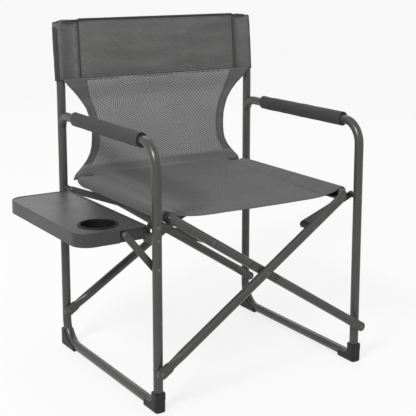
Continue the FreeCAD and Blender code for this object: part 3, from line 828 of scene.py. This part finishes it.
back_pieces = [panel, bottom_roll, bottom_roll_2, top_roll, head_stitches, mesh, *bands, foot_strip,
               mesh_stitches]
for piece in back_pieces:
    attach(piece, "right_frame")
    fold_in(piece)
for piece in (right_sleeve, edge_right, seam_shade_rolls[1], *right_hem_and_shade):
    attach(piece, "right_frame")
for piece in (left_sleeve, edge_left, seam_shade_rolls[0], *left_hem_and_shade):
    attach(piece, "left_frame")
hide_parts("back_head_panel")
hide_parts("back_mesh_panel")

# ------------------------------------------------------------------ armrest foam

PAD_Y0, PAD_Y1 = -181.0, 163.0
PAD_LIP = 2.4           # how far the rim at each end draws in


def arm_pad(side):
    half_w, half_h = 14.1, 17.5
    ends = 6
    ys = [PAD_Y0 + (PAD_Y1 - PAD_Y0) * i / 60 for i in range(61)]
    verts, faces, uvs = [], [], []
    n = 40
    # inner hole at the front, outer skin, inner hole at the rear
    rows = [(PAD_Y0 + 14, 11.3, 11.3), (PAD_Y0 + 1.5, 11.5, 11.5)]
    for i in range(ends + 1):
        a = math.pi / 2 * i / ends
        lip = PAD_LIP * math.cos(a)
        rows.append((PAD_Y0 + 3.0 * (1 - math.sin(a)), half_w - lip, half_h - lip))
    rows += [(y, half_w, half_h) for y in ys[1:-1]]
    for i in range(ends, -1, -1):
        a = math.pi / 2 * i / ends
        lip = PAD_LIP * math.cos(a)
        rows.append((PAD_Y1 - 3.0 * (1 - math.sin(a)), half_w - lip, half_h - lip))
    rows += [(PAD_Y1 - 1.5, 11.5, 11.5), (PAD_Y1 - 14, 11.3, 11.3)]
    for y, w, h in rows:
        for k in range(n):
            a = 2 * math.pi * k / n
            skin = w > 12
            soft = wrinkle(math.cos(a) * 40, y, math.sin(a) * 40, 36, 1.0, 11 + side) if skin else 0
            slot = -1.2 * math.exp(-((a - 4.1) / 0.09) ** 2) if skin else 0
            grow = 1 + (soft + slot) / 16
            x = FRAME_X + 0.8 + w * math.cos(a) * grow
            verts.append(at(side * x, y, ARM_Z + h * math.sin(a) * grow))
            uvs.append((k / n * 0.1, y / 1000))
    for j in range(len(rows) - 1):
        for k in range(n):
            m = (k + 1) % n
            quad = (j * n + k, (j + 1) * n + k, (j + 1) * n + m, j * n + m)
            faces.append(quad if side > 0 else quad[::-1])
    ob = mesh_object(sided("armrest_foam", side), verts, faces, uvs, "foam")
    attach(ob, SIDE_WORD[side] + "_frame")
    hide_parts(SIDE_WORD[side] + "_arm_pad")
    return ob


for side in (-1, 1):
    arm_pad(side)


# ------------------------------------------------------------------ stage

def plain(name, colour, rough):
    m = bpy.data.materials.new(name)
    m.use_nodes = True
    m.node_tree.nodes["Principled BSDF"].inputs["Base Color"].default_value = (*colour, 1)
    m.node_tree.nodes["Principled BSDF"].inputs["Roughness"].default_value = rough
    return m


floor_verts = [(-40, -40, -0.0005), (40, -40, -0.0005), (40, 40, -0.0005), (-40, 40, -0.0005)]
floor = mesh_object("floor", floor_verts, [(0, 1, 2, 3)])
floor_look = plain("pale floor", (0.10, 0.10, 0.10), 0.9)
floor_look.node_tree.nodes["Principled BSDF"].inputs["Emission Color"].default_value = (1, 1, 1, 1)
floor_look.node_tree.nodes["Principled BSDF"].inputs["Emission Strength"].default_value = 0.79
floor.data.materials.append(floor_look)


def area_light(name, place, target, size, power, colour=(1, 1, 1)):
    data = bpy.data.lights.new(name, "AREA")
    data.size, data.energy, data.color = size, power, colour
    ob = bpy.data.objects.new(name, data)
    ob.location = place
    ob.rotation_euler = (Vector(target) - Vector(place)).to_track_quat("-Z", "Y").to_euler()
    bpy.context.scene.collection.objects.link(ob)


# A small strong key from the table's side, a large weak fill from the other side, and a rim from behind
TARGET = (MID_X, MID_Y, 0.45)
area_light("key", (-3.1, -1.9, 3.2), TARGET, 1.1, 215)
area_light("fill", (3.2, -2.6, 2.2), TARGET, 3.0, 12)
area_light("rim", (1.2, 3.2, 3.0), TARGET, 2.2, 26)

world = bpy.data.worlds.new("studio")
bpy.context.scene.world = world
world.use_nodes = True
world.node_tree.nodes["Background"].inputs["Color"].default_value = (1, 1, 1, 1)
world.node_tree.nodes["Background"].inputs["Strength"].default_value = 0.86
bpy.context.scene.view_settings.view_transform = "Standard"

# The picture's centre is shifted down, so the camera tilts less and the uprights stay closer to parallel
CAMERA_PLACE = (-1342.7, -2149.7, 1010.1)
CAMERA_DOWN, CAMERA_TURN = 10.708, -32.019      # degrees
camera_data = bpy.data.cameras.new("camera")
camera_data.sensor_width = 36.0
camera_data.lens = 89.70
camera_data.shift_y = -0.1395
camera_data.clip_end = 200
camera = bpy.data.objects.new("camera", camera_data)
camera.location = at(*CAMERA_PLACE)
camera.rotation_euler = (math.radians(90 - CAMERA_DOWN), 0, math.radians(CAMERA_TURN))
bpy.context.scene.collection.objects.link(camera)
bpy.context.scene.camera = camera
